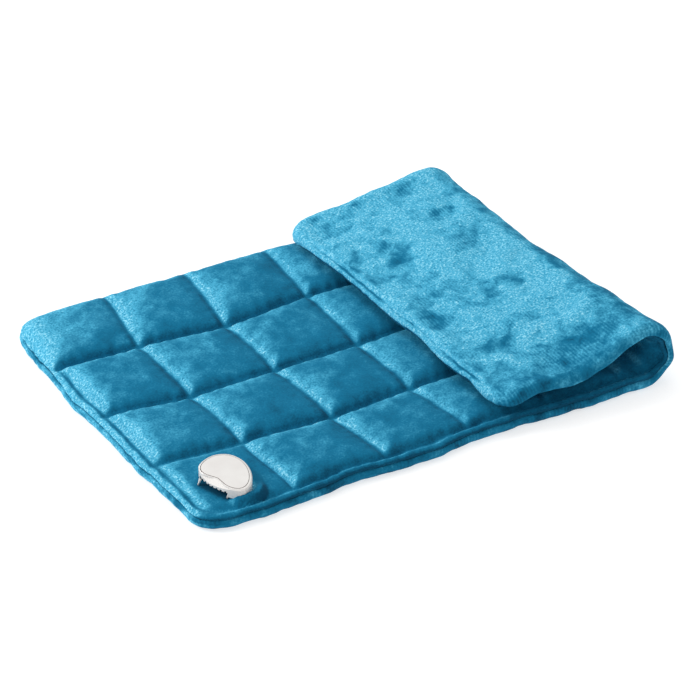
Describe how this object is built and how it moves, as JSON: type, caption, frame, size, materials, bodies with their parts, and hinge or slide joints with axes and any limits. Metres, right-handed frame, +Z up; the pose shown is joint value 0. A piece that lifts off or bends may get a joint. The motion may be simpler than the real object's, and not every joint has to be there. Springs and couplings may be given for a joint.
{
  "type": "heating pad",
  "caption": "Quilted plush heating pad with a plain back, one end folded over onto itself, and a plug socket in one corner for its hand control.",
  "frame": {"origin": "centre of the footprint, on the surface the pad lies on", "axes": "+X along the pad towards the fold, +Y across it away from the socket's side, +Z up"},
  "size_m": [0.417, 0.318, 0.0548],
  "materials": {
    "quilted_plush": "matte",
    "plain_plush": "matte",
    "wadding": "matte",
    "carrier_cloth": "matte",
    "wire_insulation": "satin",
    "sleeving": "matte",
    "socket_plastic": "satin",
    "block_plastic": "satin",
    "contact_metal": "polished",
    "steel": "satin"
  },
  "bodies": {
    "pad": {"top_cover_main": "quilted_plush", "batting_main": "wadding", "back_cover_main": "plain_plush", "wire_carrier_main": "carrier_cloth", "heating_wire_main": "wire_insulation", "heating_wire_return_long": "wire_insulation", "heating_wire_return_short": "wire_insulation", "thermal_cutout": "steel", "splice_sleeve_1": "sleeving", "splice_sleeve_2": "sleeving", "lead_wire_1": "wire_insulation", "lead_wire_2": "wire_insulation", "lead_wire_3": "wire_insulation", "lead_wire_4": "wire_insulation", "socket_housing": "socket_plastic", "socket_top_plate": "socket_plastic", "socket_clamp_plate": "socket_plastic", "contact_block": "block_plastic", "contact_pin_1": "contact_metal", "contact_pin_2": "contact_metal", "contact_pin_3": "contact_metal", "contact_pin_4": "contact_metal", "clamp_screw_1": "steel", "clamp_screw_2": "steel"},
    "fold": {"top_cover_bend": "quilted_plush", "batting_bend": "wadding", "back_cover_bend": "plain_plush", "wire_carrier_bend": "carrier_cloth", "heating_wire_bend_out": "wire_insulation", "heating_wire_bend_back": "wire_insulation"},
    "flap": {"top_cover_flap": "quilted_plush", "batting_flap": "wadding", "back_cover_flap": "plain_plush", "wire_carrier_flap": "carrier_cloth", "heating_wire_flap": "wire_insulation"}
  },
  "joints": [
    {"name": "fold_lower", "type": "hinge", "parent": "pad", "child": "fold", "pos_m": [0.19591, 0, 0.00875], "axis": [0, 1, 0], "range_deg": [0, 95], "deforming": ["top_cover_bend", "batting_bend", "back_cover_bend", "wire_carrier_bend", "heating_wire_bend_out", "heating_wire_bend_back"]},
    {"name": "fold_upper", "type": "hinge", "parent": "fold", "child": "flap", "pos_m": [0.19229, 0, 0.04831], "axis": [0, 1, 0], "range_deg": [0, 95], "deforming": ["top_cover_bend", "batting_bend", "back_cover_bend", "wire_carrier_bend", "heating_wire_bend_out", "heating_wire_bend_back"]}
  ],
  "couplings": [
    {"joint": "fold_upper", "follows": "fold_lower", "ratio": 1}
  ]
}
